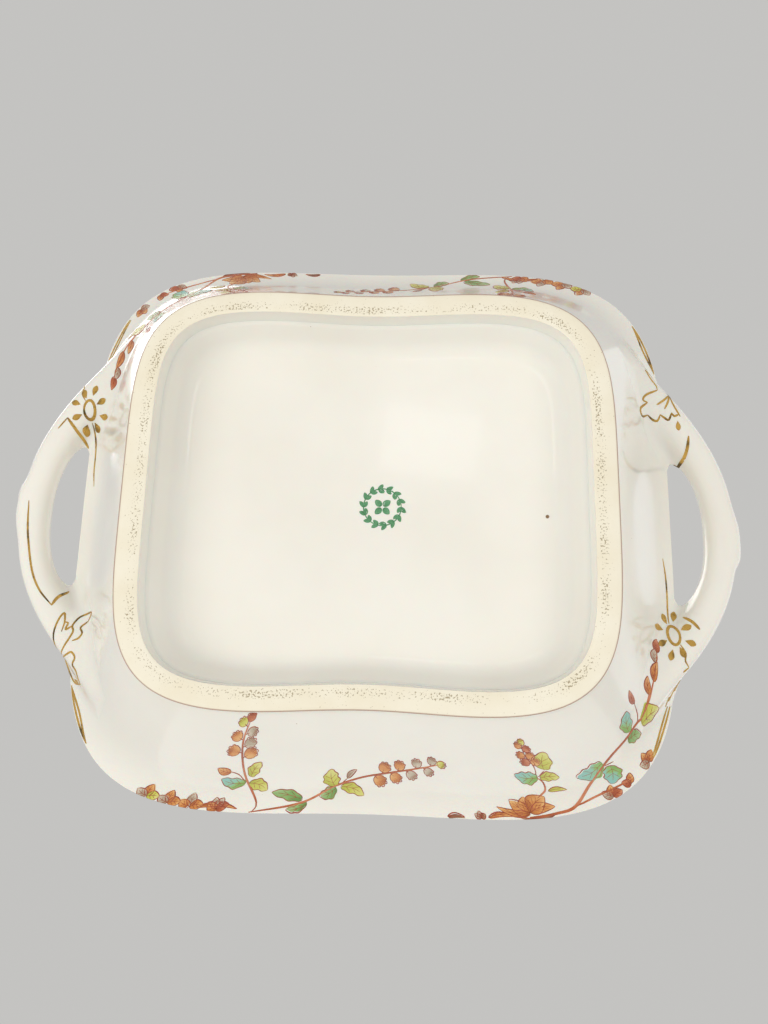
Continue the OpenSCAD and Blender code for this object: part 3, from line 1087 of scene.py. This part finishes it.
def rim_blooms(pen):
    """Flowers that spill over the rim from inside, each seen from its side."""
    pen.bloom((-57.3, 0.4), 3.2, "lime orange grey")
    pen.bloom((-51.5, 0.4), 3.2, "orange orange grey")
    pen.bloom((-45.7, 0.5), 3.3, "orange grey orange")
    pen.bloom((-38.8, 0.5), 3.1, "rust grey grey orange", 120)
    pen.leaf((-44, 0.5), (-33.5, 0.9), 1.1, "orange", lobes=0, veins=0)
    pen.leaf((21, 0.4), (25.4, 0.5), 0.9, "brown", lobes=0, veins=0)
    pen.bloom((29.6, 0.3), 1.7, "brown grey grey", 110)
    pen.leaf((31.5, 0.5), (38, 0.8), 1.1, "orange", lobes=0)
    pen.bloom((64.5, 0.6), 2.8, "rust orange grey", 130, 70)
    pen.bloom((70.3, 0.8), 2.4, "orange rust", 90, 100)
    pen.bloom((77.5, 0.9), 2.8, "orange orange grey", 130)


# a drawing, how far it slips round on the base's other half, and where it is true to size on the lid
SPRIGS = ((upright_sprig, -9.0, -33), (branch_sprig, -9.0, -6), (flower_sprig, -1.0, 47),
          (corner_sprig, -5.0, 74), (rim_blooms, -3.0, 0))


def make_prints():
    """The sprigs on both halves of the base, and growing up both halves of the lid."""
    base_pens, lid_pens = [], []
    for half in (0, 1):
        for i, (sprig, slip, anchor) in enumerate(SPRIGS):
            base_pens.append(Pen(wall_chart(half), 10 * half + i, slip * half))
            lid_pens.append(Pen(dome_chart(half, anchor), 40 + 10 * half + i))
            sprig(base_pens[-1])
            sprig(lid_pens[-1])
    make_print("base_print", base_pens, "base", "enamel_print")
    make_print("lid_print", lid_pens, "lid", "enamel_print")


# ------------ gilding
# The drawings beside a handle are seen from below, in millimetres along X and Y.
GOLD_W = 0.85
GOLD_LIFT = 0.1


def gold_line(pen, points, width=GOLD_W, ends=0.4):
    pen.curve(GOLD, points, width, ends, GOLD_LIFT)


def gold_drop(pen, centre, angle, length, width):
    """A brush mark: round at its outer end and drawn out towards the inner one."""
    u = np.linspace(0.03, 0.97, 9)
    half = width / 2 * np.sin(np.pi * u ** 1.4) ** 0.8
    ahead = heading(angle)
    middle = np.array(centre) + ((u - 0.5) * length)[:, None] * ahead
    v = np.linspace(-1, 1, 5)
    grid = middle[:, None] + (half[:, None] * v)[..., None] * across(ahead)
    pen.patch(GOLD, grid, 0.5, GOLD_LIFT * (1 - 0.6 * v ** 2))


def gold_fan(pen, hub):
    """The leaf beside the right handle: one long pointed lobe and a scalloped fan."""
    for points in ([(0, 0), (-2.1, -3.2), (-6.5, -6.7), (-5.6, -4), (-4.1, -2), (-3.9, -0.6)],
                   [(-3.9, -0.6), (-7.3, 1.2), (-8.5, 2.9), (-7, 3.3)],
                   [(-7, 3.3), (-9.4, 5.6), (-8.8, 7.5), (-6.9, 6.7)],
                   [(-6.9, 6.7), (-5.3, 7.7), (-3.9, 7.8), (-3.2, 6.2)],
                   [(-3.2, 6.2), (-2, 7), (-0.8, 7.5), (0, 5.5)],
                   [(0, 5.5), (0.7, 6.4), (2.1, 5.8)],
                   [(0, 0), (0.6, 2.8), (2.5, 6.4)],
                   [(0, 0), (-2, 2), (-4.2, 3.6)],
                   [(0, 0), (-0.9, 2.4), (-2, 4.6)]):
        gold_line(pen, [np.add(hub, point) for point in points], 0.6)
    gold_drop(pen, np.add(hub, (1.8, 9)), 84, 2.8, 1.4)


def gold_wings(pen, hub):
    """The leaf beside the left handle: a tall pointed wing with notches, and a short one."""
    for points in ([(0, 0), (1.3, 5), (0.7, 9.2), (-0.7, 12), (-1.4, 9.6), (-1, 7)],
                   [(-1.4, 9.6), (-2.4, 9.3), (-2, 7.6), (-3.7, 8.6)],
                   [(0, 0), (-2.3, 3.4), (-4.2, 7), (-3.7, 8.6), (-5, 10.8), (-6.8, 11.6), (-9.3, 12),
                    (-8.4, 9.8)],
                   [(-8.4, 9.8), (-6.2, 8.2), (-7, 6.8), (-6.2, 5.4), (-4.4, 4.7)],
                   [(0, 0), (-2.8, 1.1), (-4.6, 1.8), (-5.8, 0.3), (-5, -1.4), (-6.2, -3.2), (-6.7, -6.4)],
                   [(-6.7, -6.4), (-3.8, -5.9), (-2, -3.8), (0, 0)],
                   [(0, 0), (-0.7, -8.6)]):
        gold_line(pen, [np.add(hub, point) for point in points], 0.55)
    gold_drop(pen, np.add(hub, (-4.6, -5.6)), 215, 2.2, 1.0)


def gold_daisy(pen, centre):
    """An oval ring with brush marks fanned round it, and a twig, beside a handle's other root."""
    centre = np.array(centre, float)
    turn = np.linspace(0, 2 * np.pi, 25)
    pen.stroke(GOLD, centre + np.stack([1.5 * np.cos(turn), 2.5 * np.sin(turn)], -1), 0.8, 0.7, GOLD_LIFT)
    for angle in range(20, 380, 45):
        reach = 5.0 if angle % 90 == 20 else 4.4
        gold_drop(pen, centre + reach * heading(angle) * [0.85, 1.1], angle, 3.1, 1.7)
    gold_line(pen, [(78, 8.6), (78.7, 13), (78.9, 19), centre - (0.3, 3.2)], 0.6, 0.25)
    gold_line(pen, [centre + (1.2, 2.4), centre + (2.4, 4.6), centre + (2.2, 6.6), centre + (3.4, 8.2)], 0.45)
    gold_line(pen, [centre + (3.4, 8.2), centre + (1.6, 9.4)], 0.5)


def gold_right(pen):
    """Short strokes that edge the right handle where it leaves the wall."""
    gold_line(pen, [(82.4, 24.2), (84.2, 25.8), (85.6, 27.6)])
    gold_line(pen, [(86, -25.2), (85.6, -21.6), (84.8, -18.4), (83.8, -16.6)])


def gold_left(pen):
    """The left handle's strokes, turned to the right: angled pairs and a line along the strap."""
    gold_line(pen, [(89, 24.6), (86.4, 27.6)], 0.45)
    gold_line(pen, [(86.4, 27.6), (84, 24.4), (81.8, 20.4)])
    gold_line(pen, [(84.7, -24.9), (83.8, -22.8), (82.4, -20.6)])
    gold_line(pen, [(84.7, -24.9), (89, -20.6), (92, -15.2), (94.4, -7), (95.4, -1.4), (95.8, 4.3)], 0.6)


def gold_rim(pen):
    """Scrolls on the corners of the rim."""
    gold_line(pen, [(101, 0.4), (97.5, 0.8), (98.8, 1.4), (94, 1.9), (94.8, 2.6), (92, 2.4)], 0.55)
    gold_line(pen, [(92.5, 1.6), (86, 1.7), (79, 0.9)], 0.55)
    gold_line(pen, [(93, 0.7), (86, 0.9), (79, 0.5)], 0.55)
    for depth in (0.5, 1.5):
        gold_line(pen, [(-95, 0.3), (-87, depth), (-79, 0.4)], 0.6)


# for each handle, a leaf and its hub, the middle of the daisy, and the strokes along the strap
HANDLE_GOLD = ((gold_fan, (81.3, -36.9), (78.8, 29.2), gold_right),
               (gold_wings, (81.7, -38.9), (80.2, 29.9), gold_left))


def make_gilding():
    base_pens = []
    for half, (gold_leaf, hub, daisy, gold_strokes) in enumerate(HANDLE_GOLD):
        under = Pen(under_chart(half), 70 + half)
        gold_leaf(under, hub)
        gold_daisy(under, daisy)
        gold_strokes(under)
        corners = Pen(wall_chart(half), 80 + half)
        gold_rim(corners)
        base_pens += [under, corners]
    make_print("base_gilding", base_pens, "base", "gilding")
    loop = Pen(loop_chart, 90)
    along = np.linspace(28, 152, 40)     # these four lines are laid out in degrees
    for around in (60, -60, 120, -120):
        loop.stroke(GOLD, np.stack([along, around + 0 * along], -1), 7.0, 0.3, GOLD_LIFT)
    make_print("lid_gilding", [loop], "lid", "gilding")


# ------------ panel
def make_panel_marks():
    """A small generic wreath in the middle of the recess, and two iron specks in the glaze."""
    pen = Pen(panel_chart, 95)
    centre = np.array([3.0, 1.5])
    radius = 4.6
    turn = np.linspace(0, 2 * np.pi, 49)
    pen.stroke("stamp", centre + radius * np.stack([np.cos(turn), np.sin(turn)], -1), HAIR, 0.8)
    bare = {"lobes": 0, "veins": 0, "outline": "stamp"}
    for i in range(14):
        angle = 360 * i / 14
        base = centre + radius * heading(angle)
        for lean in (35, -35):
            pen.leaf(base, base + 1.6 * heading(angle + 90 + lean), 0.7, "stamp", fold=0.05, **bare)
    for angle in range(45, 405, 90):
        ahead = heading(angle)
        pen.leaf(centre + 0.4 * ahead, centre + 2.4 * ahead, 1.3, "stamp", fold=0, **bare)
    for place, size in (((43, 3.1), 0.45), ((45.4, 23.9), 0.3)):
        u = np.linspace(-0.95, 0.95, 7)
        half = np.sqrt(1 - u ** 2)
        grid = np.stack(np.broadcast_arrays(u[:, None], half[:, None] * np.linspace(-1, 1, 5)), -1)
        pen.patch("brown", np.array(place) + size * grid, 0.8, 0.03)
    make_print("panel_marks", [pen], "base", "enamel_print")


# ------------ stage, light and camera
def make_stage():
    """A wide pale floor, clear from below, that takes no part in shadows and reflections."""
    mesh = bpy.data.meshes.new("floor")
    reach = 30.0
    corners = [(-reach, -reach, 0), (reach, -reach, 0), (reach, reach, 0), (-reach, reach, 0)]
    mesh.from_pydata(corners, [], [(0, 1, 2, 3)])
    floor = bpy.data.objects.new("floor", mesh)
    bpy.context.scene.collection.objects.link(floor)
    material, tree, shader = new_material("floor_paper")
    tree.links.new(ramp(tree, noise(tree, 3), ((0.3, (0.84, 0.83, 0.81)), (0.7, (0.87, 0.86, 0.84)))),
                   shader.inputs["Base Color"])
    shader.inputs["Roughness"].default_value = 0.8
    clear = add(tree, "ShaderNodeBsdfTransparent")
    sides = add(tree, "ShaderNodeNewGeometry")
    choose = add(tree, "ShaderNodeMixShader")
    tree.links.new(sides.outputs["Backfacing"], choose.inputs["Fac"])
    tree.links.new(shader.outputs["BSDF"], choose.inputs[1])
    tree.links.new(clear.outputs["BSDF"], choose.inputs[2])
    tree.links.new(choose.outputs["Shader"], tree.nodes["Material Output"].inputs["Surface"])
    mesh.materials.append(material)
    floor.visible_shadow = False
    floor.visible_diffuse = False
    floor.visible_glossy = False
    floor.visible_transmission = False


def add_light(name, place_m, target_m, size, power, colour=(1, 1, 1), mirrored=True):
    data = bpy.data.lights.new(name, "AREA")
    data.shape = "RECTANGLE"
    data.size, data.size_y = size
    data.energy = power
    data.color = colour
    light = bpy.data.objects.new(name, data)
    light.location = place_m
    light.rotation_euler = (Vector(target_m) - Vector(place_m)).to_track_quat("-Z", "Y").to_euler()
    light.visible_camera = False
    light.visible_glossy = mirrored
    bpy.context.scene.collection.objects.link(light)


def make_lights():
    world = bpy.data.worlds.new("studio")
    world.use_nodes = True
    background = world.node_tree.nodes["Background"]
    background.inputs["Color"].default_value = (0.60, 0.595, 0.58, 1)
    background.inputs["Strength"].default_value = 0.92
    bpy.context.scene.world = world
    bpy.context.scene.view_settings.view_transform = "Standard"
    centre = (0, 0, 0.03)
    add_light("key_above", (-0.7, -0.8, 1.1), centre, (1.0, 1.0), 6.0)
    add_light("fill_above", (1.1, -0.2, 0.9), centre, (1.4, 2.0), 3.2)
    add_light("back_above", (0.2, 1.1, 0.9), centre, (2.4, 1.4), 3.6)
    add_light("key_below", (-0.76, 0.22, -0.85), centre, (0.8, 0.8), 5.8, (1.0, 0.985, 0.955), False)
    add_light("fill_below", (0.72, 0.15, -0.85), centre, (0.7, 0.7), 3.5, (1.0, 0.98, 0.95), False)
    add_light("window_below", (0.035, -0.213, -0.6), (0.012, -0.014, 0.01), (0.10, 0.07), 0.03)


def make_camera():
    """A telephone camera's lens, close under the dish and a little towards its +Y side."""
    place_m = Vector((8.08, 46.36, -179.52)) * MM
    target_m = Vector((3.68, 5.01, 0.0)) * MM
    roll = math.radians(1.35)
    ahead = (target_m - place_m).normalized()
    up = Vector((-math.sin(roll), -math.cos(roll), 0.0))
    right = ahead.cross(up).normalized()
    up = right.cross(ahead)
    data = bpy.data.cameras.new("camera")
    data.sensor_width = 36.0
    data.lens = 28.125
    data.clip_start = 0.01
    camera = bpy.data.objects.new("camera", data)
    camera.matrix_world = Matrix((right, up, -ahead)).transposed().to_4x4()
    camera.location = place_m
    bpy.context.scene.collection.objects.link(camera)
    bpy.context.scene.camera = camera


make_camera()
make_stage()
make_lights()
make_bowl()
make_foot_ring()
make_handles()
make_drainer()
make_lid()
make_lid_handle()
make_prints()
make_gilding()
make_panel_marks()
